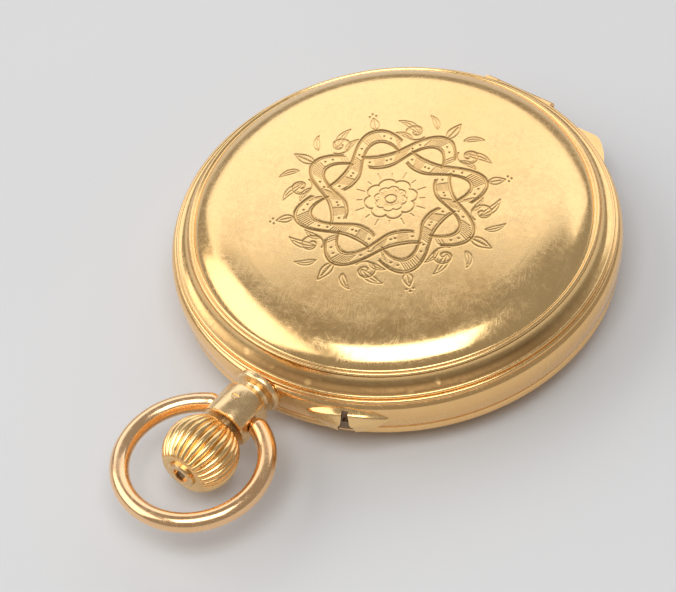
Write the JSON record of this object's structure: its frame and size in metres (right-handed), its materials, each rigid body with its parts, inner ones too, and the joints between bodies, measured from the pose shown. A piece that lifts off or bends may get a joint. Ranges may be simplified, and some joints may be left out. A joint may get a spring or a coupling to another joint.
{
  "type": "pocket watch",
  "caption": "Closed two-lid hunter pocket watch: thin gold case with an engraved ornament on the back lid, olivette setting pin, fluted crown, round bow and a keyless lever movement inside.",
  "frame": {"origin": "centre of the flat under the dial-side lid, on the case's axis", "axes": "+Z out of the engraved back lid, -Y along the pendant to the crown and bow, +Y to the lid hinges, +X to the dial's 6 o'clock"},
  "size_m": [0.05, 0.0706, 0.0126],
  "materials": {
    "gold": "polished yellow gold, worn",
    "steel": "polished steel",
    "blued_steel": "heat-blued steel",
    "nickel": "frosted and striped nickel",
    "gilt_brass": "gilt brass",
    "ruby": "polished ruby",
    "enamel": "white enamel",
    "glass": "clear mineral glass"
  },
  "bodies": {
    "case": {"case_middle": "gold", "bezel": "gold", "crystal": "glass", "olivette_guard": "gold", "pendant": "gold", "pendant_screw": "steel", "back_hinge_pin": "gold", "front_hinge_pin": "gold", "lift_spring": "steel", "case_screws": "steel", "mainplate": "nickel", "dial": "enamel", "barrel_bridge": "nickel", "train_bridge": "nickel", "pallet_cock": "nickel", "balance_cock": "nickel", "bridge_screws": "blued_steel", "jewels": "ruby", "click_spring": "steel", "hairspring": "blued_steel", "balance_cap": "steel", "crown_wheel_screw": "steel"},
    "back_lid": {"back_cover": "gold"},
    "front_lid": {"front_cover": "gold"},
    "inner_lid": {"cuvette": "gold"},
    "bow": {"bow": "gold"},
    "push_sleeve": {"push_sleeve": "steel"},
    "crown": {"crown": "gold", "crown_cap": "gold", "winding_stem": "steel"},
    "lock_spring": {"lock_spring": "steel"},
    "setting_pin": {"setting_pin": "steel"},
    "setting_lever": {"setting_lever": "steel"},
    "winding_pinion": {"winding_pinion": "steel"},
    "crown_wheel": {"crown_wheel": "steel"},
    "ratchet": {"ratchet_wheel": "steel", "ratchet_screw": "steel", "barrel_arbor": "steel"},
    "click": {"click": "steel"},
    "barrel": {"mainspring_barrel": "gilt_brass", "mainspring": "steel"},
    "centre": {"centre_wheel": "gilt_brass", "cannon_pinion": "steel", "minute_hand": "blued_steel"},
    "third": {"third_wheel": "gilt_brass"},
    "fourth": {"fourth_wheel": "gilt_brass", "seconds_hand": "blued_steel"},
    "escape": {"escape_wheel": "steel"},
    "minute_wheel": {"minute_wheel": "gilt_brass"},
    "hour": {"hour_wheel": "gilt_brass", "hour_hand": "blued_steel"},
    "pallets": {"pallet_fork": "steel"},
    "balance": {"balance_wheel": "gilt_brass"},
    "regulator": {"regulator": "steel"}
  },
  "joints": [
    {"name": "back_lid_hinge", "type": "hinge", "parent": "case", "child": "back_lid", "pos_m": [0, 0.0243, 0.0075], "axis": [-1, 0, 0], "range_deg": [0, 105]},
    {"name": "inner_lid_hinge", "type": "hinge", "parent": "case", "child": "inner_lid", "pos_m": [0, 0.0243, 0.0075], "axis": [-1, 0, 0], "range_deg": [0, 60]},
    {"name": "front_lid_hinge", "type": "hinge", "parent": "case", "child": "front_lid", "pos_m": [0, 0.02495, 0.00395], "axis": [1, 0, 0], "range_deg": [0, 90]},
    {"name": "bow_swivel", "type": "hinge", "parent": "case", "child": "bow", "pos_m": [0, -0.029, 0.006], "axis": [1, 0, 0], "range_deg": [-95, 95]},
    {"name": "crown_push", "type": "slide", "parent": "case", "child": "push_sleeve", "axis": [0, 1, 0], "range_m": [0, 0.0006], "stiffness_N_per_m": 800},
    {"name": "crown_turn", "type": "hinge", "parent": "push_sleeve", "child": "crown", "pos_m": [0, -0.03, 0.006], "axis": [0, -1, 0], "continuous": true},
    {"name": "lock_spring_slide", "type": "slide", "parent": "case", "child": "lock_spring", "axis": [0, 1, 0], "range_m": [0, 0.0003]},
    {"name": "setting_pin_push", "type": "slide", "parent": "case", "child": "setting_pin", "axis": [-0.4067, 0.9135, 0], "range_m": [0, 0.0007], "stiffness_N_per_m": 500},
    {"name": "setting_lever_slide", "type": "slide", "parent": "case", "child": "setting_lever", "axis": [-0.4067, 0.9135, 0], "range_m": [0, 0.00035]},
    {"name": "winding_pinion_turn", "type": "hinge", "parent": "case", "child": "winding_pinion", "pos_m": [0, -0.016, 0.006], "axis": [0, -1, 0], "continuous": true},
    {"name": "crown_wheel_turn", "type": "hinge", "parent": "case", "child": "crown_wheel", "pos_m": [0, -0.01351, 0.008], "axis": [0, 0, 1], "continuous": true},
    {"name": "ratchet_turn", "type": "hinge", "parent": "case", "child": "ratchet", "pos_m": [-0.00921, -0.00646, 0.008], "axis": [0, 0, 1], "continuous": true},
    {"name": "click_pivot", "type": "hinge", "parent": "case", "child": "click", "pos_m": [-0.0108, -0.01546, 0.009], "axis": [0, 0, 1], "range_deg": [-8, 0], "stiffness_Nm_per_rad": 0.0005},
    {"name": "barrel_turn", "type": "hinge", "parent": "case", "child": "barrel", "pos_m": [-0.00921, -0.00646, 0.0065], "axis": [0, 0, 1], "continuous": true},
    {"name": "minute_turn", "type": "hinge", "parent": "case", "child": "centre", "pos_m": [0, 0, 0.006], "axis": [0, 0, -1], "continuous": true},
    {"name": "third_turn", "type": "hinge", "parent": "case", "child": "third", "pos_m": [0.00629, -0.0058, 0.007], "axis": [0, 0, -1], "continuous": true},
    {"name": "fourth_turn", "type": "hinge", "parent": "case", "child": "fourth", "pos_m": [0.0106, 0, 0.007], "axis": [0, 0, -1], "continuous": true},
    {"name": "escape_turn", "type": "hinge", "parent": "case", "child": "escape", "pos_m": [0.00945, 0.0065, 0.007], "axis": [0, 0, -1], "continuous": true},
    {"name": "minute_wheel_turn", "type": "hinge", "parent": "case", "child": "minute_wheel", "pos_m": [0, -0.0048, 0.0043], "axis": [0, 0, -1], "continuous": true},
    {"name": "hour_turn", "type": "hinge", "parent": "case", "child": "hour", "pos_m": [0, 0, 0.004], "axis": [0, 0, -1], "continuous": true},
    {"name": "pallet_swing", "type": "hinge", "parent": "case", "child": "pallets", "pos_m": [0.00639, 0.00892, 0.007], "axis": [0, 0, 1], "range_deg": [-5, 5]},
    {"name": "balance_swing", "type": "hinge", "parent": "case", "child": "balance", "pos_m": [0.001, 0.0132, 0.008], "axis": [0, 0, 1], "range_deg": [-270, 270], "stiffness_Nm_per_rad": 0.0000017},
    {"name": "regulator_turn", "type": "hinge", "parent": "case", "child": "regulator", "pos_m": [0.001, 0.0132, 0.0098], "axis": [0, 0, 1], "range_deg": [-20, 20]}
  ],
  "couplings": [
    {"joint": "inner_lid_hinge", "follows": "back_lid_hinge", "ratio": 0.5},
    {"joint": "lock_spring_slide", "follows": "crown_push", "ratio": 0.5},
    {"joint": "setting_lever_slide", "follows": "setting_pin_push", "ratio": 0.5},
    {"joint": "winding_pinion_turn", "follows": "crown_turn", "ratio": 1},
    {"joint": "crown_wheel_turn", "follows": "crown_turn", "ratio": -0.4375},
    {"joint": "ratchet_turn", "follows": "crown_turn", "ratio": 0.26736},
    {"joint": "barrel_turn", "follows": "minute_turn", "ratio": 0.15385},
    {"joint": "third_turn", "follows": "minute_turn", "ratio": -8},
    {"joint": "fourth_turn", "follows": "minute_turn", "ratio": 60},
    {"joint": "escape_turn", "follows": "minute_turn", "ratio": -600},
    {"joint": "minute_wheel_turn", "follows": "minute_turn", "ratio": -0.33333},
    {"joint": "hour_turn", "follows": "minute_turn", "ratio": 0.083333}
  ]
}
